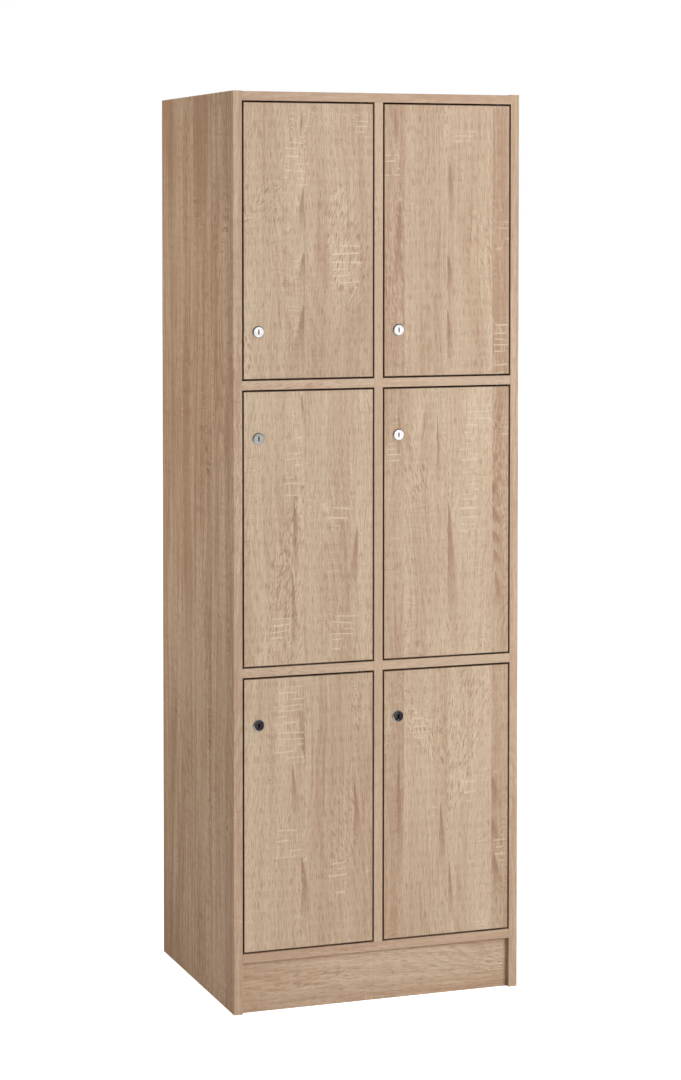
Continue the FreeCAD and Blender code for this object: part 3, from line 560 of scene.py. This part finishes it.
def strongest(tree, group, place, settings):
    """The largest shade that a group gives over all the settings of its sockets."""
    most = 0.0
    for inputs in settings:
        made = tree.node("ShaderNodeGroup", {"Place": place} | inputs, node_tree=group)
        most = tree.math("MAXIMUM", made.outputs[0], most)
    return most


def oak_door(door):
    """Door board, with the planks, flames, saw marks and knots of that door."""
    made, tree, shader = new_material(f"oak_door_{door}")
    low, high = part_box(f"door_panel_{door}")
    width, height = high.x - low.x, high.z - low.z
    parts = tree.parts(tree.here())
    place = flat_place(tree, parts, "Z", (0.0, 0.0, 0.0))

    def at(share_x, share_z):
        """Flat place of a point on the front of the door."""
        return (low.x + share_x * width + low.y, high.z - share_z * height, 0.0)

    def round_centres(table):
        return [
            {"Centre": at(x, z), "Size": (half_x * width, half_z * height, 1.0)}
            for x, z, half_x, half_z in table[door]
        ]

    row, side = door.split("_")
    edges = [(at(edge, 0.0)[0], shade) for edge, shade in PLANKS[side]]
    plank, tone = door_planks(tree, tree.parts(place)["X"], edges)
    first_plank = FIRST_PLANK + DOOR_STEP * DOORS.index(door)
    flames = [
        {"Tip": at(x, z), "Width": wide * width, "Reach": -reach * height}
        for x, z, wide, reach in FLAMES[door]
    ]
    cuts, knots = round_centres(SAW_PATCHES), round_centres(KNOTS)
    knot = tree.math("MULTIPLY", strongest(tree, SWELL, place, knots), KNOT_HEIGHT)
    # The doors' four edges and a thin rim of their fronts get the painted shade of the gaps round
    # them.
    finish_oak(
        tree,
        shader,
        place,
        (tree.math("MULTIPLY", door_gap_shade(tree, parts, low, high), GAP_SHADE_SHARE), DOOR_GAP_SHADE),
        Plank=tree.math("ADD", plank, first_plank),
        Tone=tree.math("ADD", tone, ROW_TONE[row]),
        Flame=strongest(tree, FLAME, place, flames),
        Cuts=strongest(tree, PATCH, place, cuts),
        Knot=knot,
    )
    return made


def dress(node, material):
    """Gives a CAD node its material, in every slot."""
    mesh = nodes[node].data
    if not mesh.materials:
        mesh.materials.append(material)
    for i in range(len(mesh.materials)):
        mesh.materials[i] = material


# Boards with upright and with level grain: how much darker each is than plain oak, and
# how strong its grain is.
UPRIGHT = {
    "left_side_panel": (0.22, 2.1),
    "right_side_panel": (0.38, 2.1),
    "centre_partition": (-0.06, 1.0),
}
LEVEL = {
    "top_panel": (0.52, 1.2),
    "bottom_panel": (0.40, 1.3),
    "shelf_lower_left": (-0.16, 1.0),
    "shelf_lower_right": (-0.16, 1.0),
    "shelf_upper_left": (-0.16, 1.0),
    "shelf_upper_right": (-0.16, 1.0),
    "plinth_board": (0.10, 1.2),
}
# For each axis of grain: its boards, where on the print the first one is cut from, and
# the steps across and along the grain to the next.
CUTS = {"Z": (UPRIGHT, 0.42, (3.74, 2.1)), "X": (LEVEL, 11.0, (2.91, 1.9))}
for grain, (boards, start, (across, along)) in CUTS.items():
    for i, (node, (tone, contrast)) in enumerate(boards.items()):
        cut = (start + across * i, along * i, 0.0)
        dress(node, oak(f"oak_{node}", cut, grain, tone, contrast))
for door in DOORS:
    dress(f"door_panel_{door}", oak_door(door))
dress("back_panel", oak("oak_back", (51.0, 3.0, 0.0), tone=0.1, raw_edge=False))


# --------------------------------------------------------------- other finishes
NICKEL_TINT = (0.80, 0.79, 0.77, 1.0)
ZINC_TINT = (0.62, 0.64, 0.66, 1.0)
KEYHOLE_SHADE = (0.004, 0.004, 0.005, 1.0)
PLUG_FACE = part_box("key_plug_top_left")[0].y

KEYHOLE_DEPTH = 0.0002  # depth past its face from which the key plug is painted black, as shade in the keyhole
KEYHOLE_FADE = 0.0003
BRUSHING = 900.0  # brushed lines in a metre of metal
BLOTCHES = 90.0  # blotches in a metre of metal
RUBBING = 60.0  # rubbed patches in a metre of plastic
FINE_DEPTH = 0.00005  # depth of the brushing and of the plastic's grain
ALL_WAYS = (1.0, 1.0, 1.0)
UPRIGHT_LINES = (1.0, 1.0, 0.15)


def metal(name, base, roughness, grain=ALL_WAYS, wear=0.1, shade_past=None):
    """Plated metal with faint brushing and blotches; past the y given last it is painted black,
    standing for the shade deep in a keyhole.
    """
    made, tree, shader = new_material(name)
    here = tree.here()
    brushed = tree.noise(here, [BRUSHING * part for part in grain], 3.0, 0.6)
    blotch = tree.noise(here, (BLOTCHES,) * 3, 3.0, 0.6)
    dull = tuple(0.8 * part for part in base[:3]) + (1.0,)
    base = tree.mix(tree.ramp(blotch, 0.4, 0.8), base, dull)
    if shade_past is not None:
        # Painted shade: the key plug turns black deeper in the keyhole.
        keyhole_shade = tree.ramp(tree.parts(here)["Y"], shade_past, shade_past + KEYHOLE_FADE)
        base = tree.mix(keyhole_shade, base, KEYHOLE_SHADE)
    tree.feed(shader.inputs["Base Color"], base)
    rough = tree.ramp(brushed, 0.3, 0.7, 0.8 * roughness, 1.2 * roughness)
    rough = tree.math("ADD", rough, tree.ramp(blotch, 0.55, 0.8, 0.0, wear))
    tree.feed(shader.inputs["Roughness"], rough)
    tree.feed(shader.inputs["Normal"], tree.bump(brushed, 0.06, FINE_DEPTH))
    shader.inputs["Metallic"].default_value = 1.0
    return made


def plastic(name, base, light, roughness, grain=700.0):
    """Moulded plastic with a fine grain and a few paler rubbed patches."""
    made, tree, shader = new_material(name)
    here = tree.here()
    fine = tree.noise(here, (grain,) * 3, 2.0, 0.6)
    rubbed = tree.ramp(tree.noise(here, (RUBBING,) * 3, 4.0, 0.6), 0.5, 0.8)
    tree.feed(shader.inputs["Base Color"], tree.mix(rubbed, base, light))
    rough = tree.ramp(fine, 0.3, 0.7, roughness - 0.06, roughness + 0.06)
    tree.feed(shader.inputs["Roughness"], rough)
    tree.feed(shader.inputs["Normal"], tree.bump(fine, 0.4, FINE_DEPTH))
    return made


def dowel_wood():
    """Raw beech, with small flecks."""
    made, tree, shader = new_material("beech")
    flecks = tree.noise(tree.here(), (60.0, 400.0, 400.0), 3.0, 0.6)
    flecks = tree.ramp(flecks, 0.35, 0.7)
    base = tree.mix(flecks, colour(214, 178, 132), colour(188, 146, 102))
    tree.feed(shader.inputs["Base Color"], base)
    tree.feed(shader.inputs["Roughness"], tree.ramp(flecks, 0.0, 1.0, 0.6, 0.75))
    return made


NICKEL = metal("nickel", NICKEL_TINT, 0.07, wear=0.04)
PLUG = metal("key_plug", NICKEL_TINT, 0.07, wear=0.04, shade_past=PLUG_FACE + KEYHOLE_DEPTH)
ZINC = metal("zinc", ZINC_TINT, 0.34, UPRIGHT_LINES)
BLACK_PLASTIC = plastic("black_plastic", colour(34, 34, 36), colour(52, 52, 54), 0.5)
NYLON = plastic("natural_nylon", colour(222, 219, 208), colour(206, 202, 190), 0.45, 300.0)
for door in DOORS:
    dress(f"lock_cylinder_{door}", NICKEL)
    dress(f"key_plug_{door}", PLUG)
    dress(f"lock_bolt_{door}", ZINC)
    dress(f"lock_case_{door}", BLACK_PLASTIC)
    dress(f"lock_cover_{door}", BLACK_PLASTIC)
    dress(f"door_hinge_leaves_{door}", ZINC)
for node in ("frame_hinge_leaves", "hinge_pins", "strike_plates", "frame_screws"):
    dress(node, ZINC)
dress("hinge_washers", BLACK_PLASTIC)
dress("door_stops", NYLON)
dress("panel_dowels", dowel_wood())


# ----------------------------------------------------------------------- studio
WHITE = (1.0, 1.0, 1.0)

FLOOR_REACH = 30.0
FLOOR_GLOW = 0.06  # light that the floor gives the locker; the camera sees it white
DOME_GLOW = 0.17  # light from all round; the camera sees plain white there too

# Dark sheet in front of the locker, hidden from the camera, that paints a dark reflection in the
# lowest locks: its left and right sides, and far and near ones.
CLOTH_X = (-0.4, 2.6)
CLOTH_Y = (-4.9, -2.2)
CLOTH_HEIGHT = 0.01
# Faint glow that tints that painted reflection.
CLOTH_TINT = (0.9, 0.88, 1.0, 1.0)
CLOTH_GLOW = 0.04

# Area lights: place, the point that it faces, width and height, watts, roll in degrees
# and tint. The two cards are what the polished lock faces mirror.
Light = namedtuple("Light", "place aim size power roll tint", defaults=(0.0, WHITE))
LIGHTS = {
    "key_light": Light(
        (2.9, -4.4, 2.6), (0.0, 0.0, 1.0), (2.6, 2.6), 223.0, tint=(1.0, 0.975, 0.95)
    ),
    "lock_card": Light((2.2, -5.5, 1.60), (0.0, 0.0, 1.2), (2.0, 1.8), 13.0, roll=-22.0),
    "low_card": Light((1.5, -5.6, 0.66), (0.0, 0.0, 1.2), (1.8, 0.42), 0.9),
    "fill_light": Light(
        (-2.2, 0.45, 1.5), (0.0, 0.2, 1.4), (0.8, 0.8), 20.3, tint=(1.0, 0.85, 0.70)
    ),
}

CAMERA_PLACE = (-1.9862, -5.467, 1.6453)
CAMERA_YAW = 19.688  # degrees to the right
CAMERA_TILT = 2.193  # degrees down
CAMERA_LENS = 89.516  # millimetres
CAMERA_SENSOR = 36.0  # millimetres
CAMERA_SHIFT = (0.0157, -0.205)
CAMERA_REACH = 100.0


def show(thing):
    """Puts an object in the scene."""
    bpy.context.scene.collection.objects.link(thing)
    return thing


def sheet(name, left_right, far_near, height, material):
    """Level rectangle that belongs to the studio."""
    (left, right), (far, near) = left_right, far_near
    outline = ((left, far), (right, far), (right, near), (left, near))
    corners = [(x, y, height) for x, y in outline]
    mesh = bpy.data.meshes.new(name)
    mesh.from_pydata(corners, [], [(0, 1, 2, 3)])
    mesh.materials.append(material)
    made = show(bpy.data.objects.new(name, mesh))
    return made


def floor():
    """White floor: as bright as the background to the camera, dimmer to the locker."""
    made, tree, shader = new_material("studio_floor")
    cloud = tree.noise(tree.here(), (1.5, 1.5, 1.5))
    tree.feed(shader.inputs["Base Color"], tree.mix(cloud, grey(0.78), grey(0.82)))
    shader.inputs["Roughness"].default_value = 0.9
    shader.inputs["Emission Color"].default_value = (*WHITE, 1.0)
    seen = tree.node("ShaderNodeLightPath").outputs["Is Camera Ray"]
    tree.feed(shader.inputs["Emission Strength"], tree.ramp(seen, 0.0, 1.0, FLOOR_GLOW, 1.0))
    sides = (-FLOOR_REACH, FLOOR_REACH)
    sheet("studio_floor", sides, sides, 0.0, made)


def dark_reflection_flag():
    """Dark sheet on the floor that only the mirror-like lowest locks show: a painted reflection,
    faintly glowing, hidden from the camera, from other light and from shadows.
    """
    made, tree, shader = new_material("dark_reflection_cloth")
    weave = tree.noise(tree.here(), (300.0, 300.0, 300.0))
    tree.feed(shader.inputs["Base Color"], tree.mix(weave, grey(0.004), grey(0.010)))
    shader.inputs["Roughness"].default_value = 1.0
    shader.inputs["Specular IOR Level"].default_value = 0.0
    shader.inputs["Emission Color"].default_value = CLOTH_TINT
    shader.inputs["Emission Strength"].default_value = CLOTH_GLOW
    flag = sheet("dark_reflection_flag", CLOTH_X, CLOTH_Y, CLOTH_HEIGHT, made)
    flag.visible_camera = False
    flag.visible_diffuse = False
    flag.visible_shadow = False


def world():
    """White behind the object, and a dim dome that lights it from all round."""
    made = bpy.data.worlds.new("studio_world")
    made.use_nodes = True
    tree = Tree(made.node_tree)
    seen, dome = (
        tree.node("ShaderNodeBackground", {"Color": (*WHITE, 1.0), "Strength": glow})
        for glow in (1.0, DOME_GLOW)
    )
    path = tree.node("ShaderNodeLightPath").outputs["Is Camera Ray"]
    both = tree.node("ShaderNodeMixShader", {0: path, 1: dome.outputs[0], 2: seen.outputs[0]})
    tree.node("ShaderNodeOutputWorld", {"Surface": both.outputs[0]})
    bpy.context.scene.world = made


def camera():
    """Looks a little down, with part of the picture's height taken by lens shift."""
    data = bpy.data.cameras.new("camera")
    data.lens, data.sensor_width = CAMERA_LENS, CAMERA_SENSOR
    data.shift_x, data.shift_y = CAMERA_SHIFT
    data.clip_end = CAMERA_REACH
    made = bpy.data.objects.new("camera", data)
    made.location = CAMERA_PLACE
    yaw, tilt = math.radians(CAMERA_YAW), math.radians(CAMERA_TILT)
    right, ahead = math.sin(yaw) * math.cos(tilt), math.cos(yaw) * math.cos(tilt)
    made.rotation_mode = "QUATERNION"
    way = Vector((right, ahead, -math.sin(tilt)))
    made.rotation_quaternion = way.to_track_quat("-Z", "Y")
    bpy.context.scene.camera = show(made)


def area_light(name, wanted):
    """Rectangular light, made as wanted says."""
    light = bpy.data.lights.new(name, "AREA")
    light.shape = "RECTANGLE"
    light.size, light.size_y = wanted.size
    light.energy = wanted.power
    light.color = wanted.tint
    made = show(bpy.data.objects.new(name, light))
    made.location = wanted.place
    made.rotation_mode = "QUATERNION"
    turn = (Vector(wanted.aim) - Vector(wanted.place)).to_track_quat("-Z", "Y")
    roll = Quaternion((0.0, 0.0, 1.0), math.radians(wanted.roll))
    made.rotation_quaternion = turn @ roll


floor()
dark_reflection_flag()
world()
camera()
for name, wanted in LIGHTS.items():
    area_light(name, wanted)
bpy.context.scene.view_settings.view_transform = "Standard"
